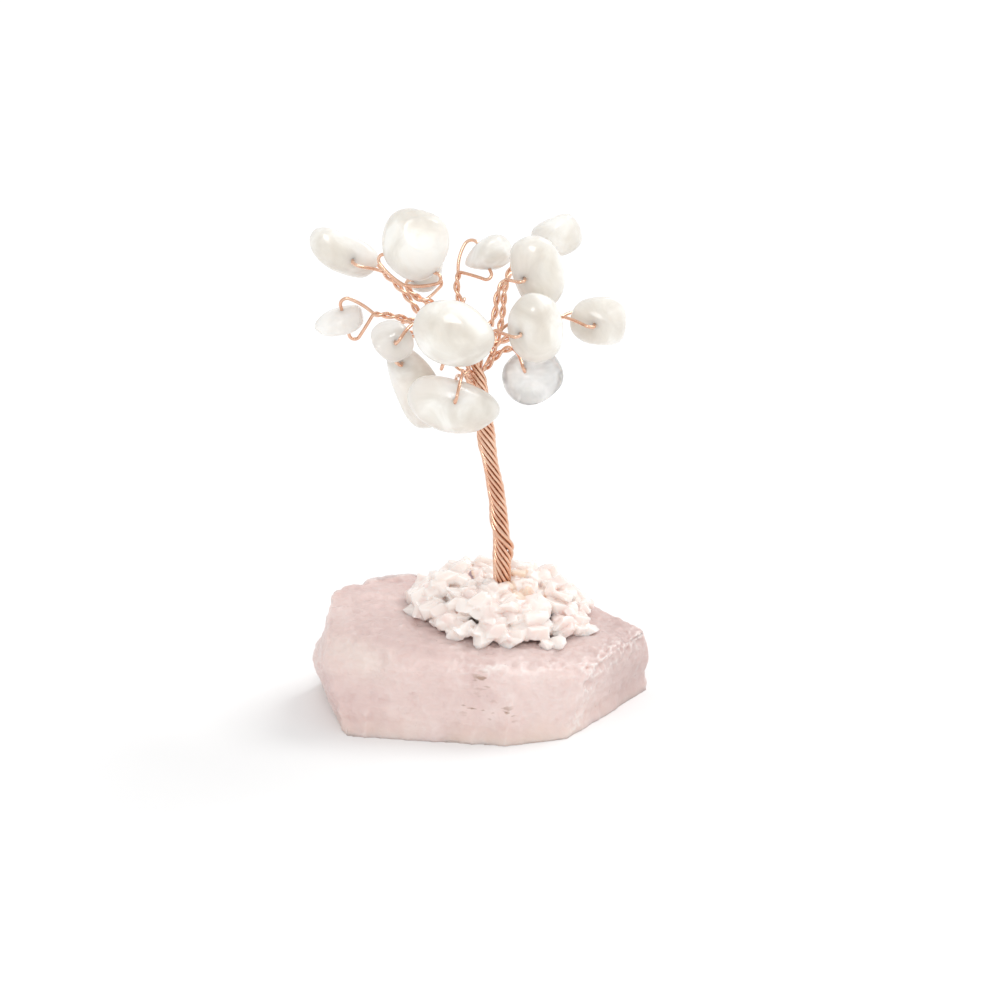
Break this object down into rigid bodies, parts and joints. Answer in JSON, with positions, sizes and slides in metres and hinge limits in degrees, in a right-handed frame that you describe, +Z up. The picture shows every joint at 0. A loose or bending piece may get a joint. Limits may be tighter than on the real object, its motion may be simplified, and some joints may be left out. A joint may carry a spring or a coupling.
{
  "type": "gemstone tree ornament",
  "caption": "Small wire tree on a rough rose-quartz block: drilled stone beads on twisted, bendable wire twigs, a rope-like wire trunk and a pile of quartz chips round its foot.",
  "frame": {"origin": "on the table, on the stone's flat underside straight below the hole that the trunk is glued into", "axes": "+Z up along the tree, +X to the right and -Y towards the viewer of the picture"},
  "size_m": [0.0586, 0.0403, 0.085],
  "materials": {
    "rose_quartz": "rough broken rose quartz, faintly translucent",
    "milky_quartz": "tumbled, polished, cloudy",
    "clear_quartz": "tumbled, polished, nearly clear",
    "quartz_chips": "small broken chips, glassy",
    "rose_gold_wire": "bright rose-gold coloured soft wire",
    "clear_glue": "cured clear glue with a warm tint"
  },
  "bodies": {
    "stand": {"base_stone": "rose_quartz", "glue_bed": "clear_glue", "chips_inner": "quartz_chips", "chips_middle": "quartz_chips", "chips_outer": "quartz_chips", "chips_upper": "quartz_chips", "trunk_wire_leaf": "rose_gold_wire", "trunk_wire_left_small": "rose_gold_wire", "trunk_wire_top_round": "rose_gold_wire", "trunk_wire_top_behind": "rose_gold_wire", "trunk_wire_top_triangle": "rose_gold_wire", "trunk_wire_front_oval": "rose_gold_wire", "trunk_wire_left_upper": "rose_gold_wire", "trunk_wire_left_long": "rose_gold_wire", "trunk_wire_bottom": "rose_gold_wire", "trunk_wire_right_upper": "rose_gold_wire", "trunk_wire_top_right": "rose_gold_wire", "trunk_wire_right_middle": "rose_gold_wire", "trunk_wire_lower_clear": "rose_gold_wire", "trunk_wire_far_right": "rose_gold_wire"},
    "twig_leaf": {"twig_wire_leaf": "rose_gold_wire"},
    "bead_leaf": {"bead_leaf": "milky_quartz"},
    "twig_left_small": {"twig_wire_left_small": "rose_gold_wire"},
    "bead_left_small": {"bead_left_small": "milky_quartz"},
    "twig_top_round": {"twig_wire_top_round": "rose_gold_wire"},
    "bead_top_round": {"bead_top_round": "milky_quartz"},
    "twig_top_behind": {"twig_wire_top_behind": "rose_gold_wire"},
    "bead_top_behind": {"bead_top_behind": "milky_quartz"},
    "twig_top_triangle": {"twig_wire_top_triangle": "rose_gold_wire"},
    "bead_top_triangle": {"bead_top_triangle": "milky_quartz"},
    "twig_front_oval": {"twig_wire_front_oval": "rose_gold_wire"},
    "bead_front_oval": {"bead_front_oval": "milky_quartz"},
    "twig_left_upper": {"twig_wire_left_upper": "rose_gold_wire"},
    "bead_left_upper": {"bead_left_upper": "milky_quartz"},
    "twig_left_long": {"twig_wire_left_long": "rose_gold_wire"},
    "bead_left_long": {"bead_left_long": "milky_quartz"},
    "twig_bottom": {"twig_wire_bottom": "rose_gold_wire"},
    "bead_bottom": {"bead_bottom": "milky_quartz"},
    "twig_right_upper": {"twig_wire_right_upper": "rose_gold_wire"},
    "bead_right_upper": {"bead_right_upper": "milky_quartz"},
    "twig_top_right": {"twig_wire_top_right": "rose_gold_wire"},
    "bead_top_right": {"bead_top_right": "milky_quartz"},
    "twig_right_middle": {"twig_wire_right_middle": "rose_gold_wire"},
    "bead_right_middle": {"bead_right_middle": "milky_quartz"},
    "twig_lower_clear": {"twig_wire_lower_clear": "rose_gold_wire"},
    "bead_lower_clear": {"bead_lower_clear": "clear_quartz"},
    "twig_far_right": {"twig_wire_far_right": "rose_gold_wire"},
    "bead_far_right": {"bead_far_right": "milky_quartz"}
  },
  "joints": [
    {"name": "leaf_twig_bend", "type": "hinge", "parent": "stand", "child": "twig_leaf", "pos_m": [-0.00756, 0.00073, 0.05849], "axis": [0.4098, 0.9122, 0], "range_deg": [-8, 7]},
    {"name": "leaf_bead_turn", "type": "hinge", "parent": "twig_leaf", "child": "bead_leaf", "pos_m": [-0.0245, 0.0075, 0.0748], "axis": [0, 1, 0], "range_deg": [-10, 10]},
    {"name": "left_small_twig_bend", "type": "hinge", "parent": "stand", "child": "twig_left_small", "pos_m": [-0.00839, -0.00088, 0.06433], "axis": [-0.1598, 0.9871, 0], "range_deg": [-8, 8]},
    {"name": "left_small_bead_turn", "type": "hinge", "parent": "twig_left_small", "child": "bead_left_small", "pos_m": [-0.0256, -0.0025, 0.0669], "axis": [0.2396, 0.1392, -0.9609], "range_deg": [-10, 10]},
    {"name": "top_round_twig_bend", "type": "hinge", "parent": "stand", "child": "twig_top_round", "pos_m": [-0.00807, 0.00218, 0.0669], "axis": [-0.0799, 0.9968, 0], "range_deg": [-8, 8]},
    {"name": "top_round_bead_turn", "type": "hinge", "parent": "twig_top_round", "child": "bead_top_round", "pos_m": [-0.0148, -0.0005, 0.0759], "axis": [0.8637, -0.4695, -0.1836], "range_deg": [-10, 10]},
    {"name": "top_behind_twig_bend", "type": "hinge", "parent": "stand", "child": "twig_top_behind", "pos_m": [-0.00609, 0.00283, 0.05889], "axis": [0.8204, 0.5718, 0], "range_deg": [-8, 8]},
    {"name": "top_behind_bead_turn", "type": "hinge", "parent": "twig_top_behind", "child": "bead_top_behind", "pos_m": [-0.013, 0.013, 0.0693], "axis": [0.7703, 0.6187, -0.1545], "range_deg": [-10, 10]},
    {"name": "top_triangle_twig_bend", "type": "hinge", "parent": "stand", "child": "twig_top_triangle", "pos_m": [-0.00613, 0.00318, 0.06473], "axis": [0.974, 0.2265, 0], "range_deg": [-8, 3]},
    {"name": "top_triangle_bead_turn", "type": "hinge", "parent": "twig_top_triangle", "child": "bead_top_triangle", "pos_m": [-0.0029, 0.0072, 0.0747], "axis": [0.383, -0.6428, -0.6634], "range_deg": [-10, 10]},
    {"name": "front_oval_twig_bend", "type": "hinge", "parent": "stand", "child": "twig_front_oval", "pos_m": [-0.00549, -0.00314, 0.05938], "axis": [-0.9139, 0.4059, 0], "range_deg": [-8, 8]},
    {"name": "front_oval_bead_turn", "type": "hinge", "parent": "twig_front_oval", "child": "bead_front_oval", "pos_m": [-0.0079, -0.011, 0.0673], "axis": [-0.309, -0.3253, -0.8937], "range_deg": [-10, 10]},
    {"name": "left_upper_twig_bend", "type": "hinge", "parent": "stand", "child": "twig_left_upper", "pos_m": [-0.00734, -0.00217, 0.06196], "axis": [-0.6191, 0.7853, 0], "range_deg": [-8, 8]},
    {"name": "left_upper_bead_turn", "type": "hinge", "parent": "twig_left_upper", "child": "bead_left_upper", "pos_m": [-0.0172, -0.0076, 0.0655], "axis": [0, 1, 0], "range_deg": [-10, 10]},
    {"name": "left_long_twig_bend", "type": "hinge", "parent": "stand", "child": "twig_left_long", "pos_m": [-0.00794, -0.0003, 0.06057], "axis": [-0.0589, 0.9983, 0], "range_deg": [-8, 8]},
    {"name": "left_long_bead_turn", "type": "hinge", "parent": "twig_left_long", "child": "bead_left_long", "pos_m": [-0.0164, -0.0008, 0.0596], "axis": [0, -1, 0], "range_deg": [-10, 10]},
    {"name": "bottom_twig_bend", "type": "hinge", "parent": "stand", "child": "twig_bottom", "pos_m": [-0.00508, -0.00314, 0.05661], "axis": [-0.9674, 0.2531, 0], "range_deg": [-8, 8]},
    {"name": "bottom_bead_turn", "type": "hinge", "parent": "twig_bottom", "child": "bead_bottom", "pos_m": [-0.0076, -0.0096, 0.0565], "axis": [0, 1, 0], "range_deg": [-10, 10]},
    {"name": "right_upper_twig_bend", "type": "hinge", "parent": "stand", "child": "twig_right_upper", "pos_m": [-0.00205, 0.00057, 0.06492], "axis": [0.1992, -0.98, 0], "range_deg": [-8, 4]},
    {"name": "right_upper_bead_turn", "type": "hinge", "parent": "twig_right_upper", "child": "bead_right_upper", "pos_m": [0.0037, 0.0012, 0.0736], "axis": [0, -1, 0], "range_deg": [-10, 10]},
    {"name": "top_right_twig_bend", "type": "hinge", "parent": "stand", "child": "twig_top_right", "pos_m": [-0.00196, 0.00217, 0.05919], "axis": [0.8093, -0.5874, 0], "range_deg": [-8, 4]},
    {"name": "top_right_bead_turn", "type": "hinge", "parent": "twig_top_right", "child": "bead_top_right", "pos_m": [0.0068, 0.0125, 0.0763], "axis": [0, -1, 0], "range_deg": [-10, 10]},
    {"name": "right_middle_twig_bend", "type": "hinge", "parent": "stand", "child": "twig_right_middle", "pos_m": [-0.0029, -0.00245, 0.06369], "axis": [-0.7627, -0.6468, 0], "range_deg": [-8, 8]},
    {"name": "right_middle_bead_turn", "type": "hinge", "parent": "twig_right_middle", "child": "bead_right_middle", "pos_m": [0.003, -0.0056, 0.0664], "axis": [0, -1, 0], "range_deg": [-10, 10]},
    {"name": "lower_clear_twig_bend", "type": "hinge", "parent": "stand", "child": "twig_lower_clear", "pos_m": [-0.00317, 0.00318, 0.05652], "axis": [0.4293, -0.9032, 0], "range_deg": [-8, 3]},
    {"name": "lower_clear_bead_turn", "type": "hinge", "parent": "twig_lower_clear", "child": "bead_lower_clear", "pos_m": [0.0038, 0.004, 0.0572], "axis": [0, -1, 0], "range_deg": [-10, 10]},
    {"name": "far_right_twig_bend", "type": "hinge", "parent": "stand", "child": "twig_far_right", "pos_m": [-0.00164, 0.00102, 0.06146], "axis": [0.3172, -0.9484, 0], "range_deg": [-8, 8]},
    {"name": "far_right_bead_turn", "type": "hinge", "parent": "twig_far_right", "child": "bead_far_right", "pos_m": [0.0152, 0.005, 0.0646], "axis": [0, -1, 0], "range_deg": [-10, 10]}
  ]
}
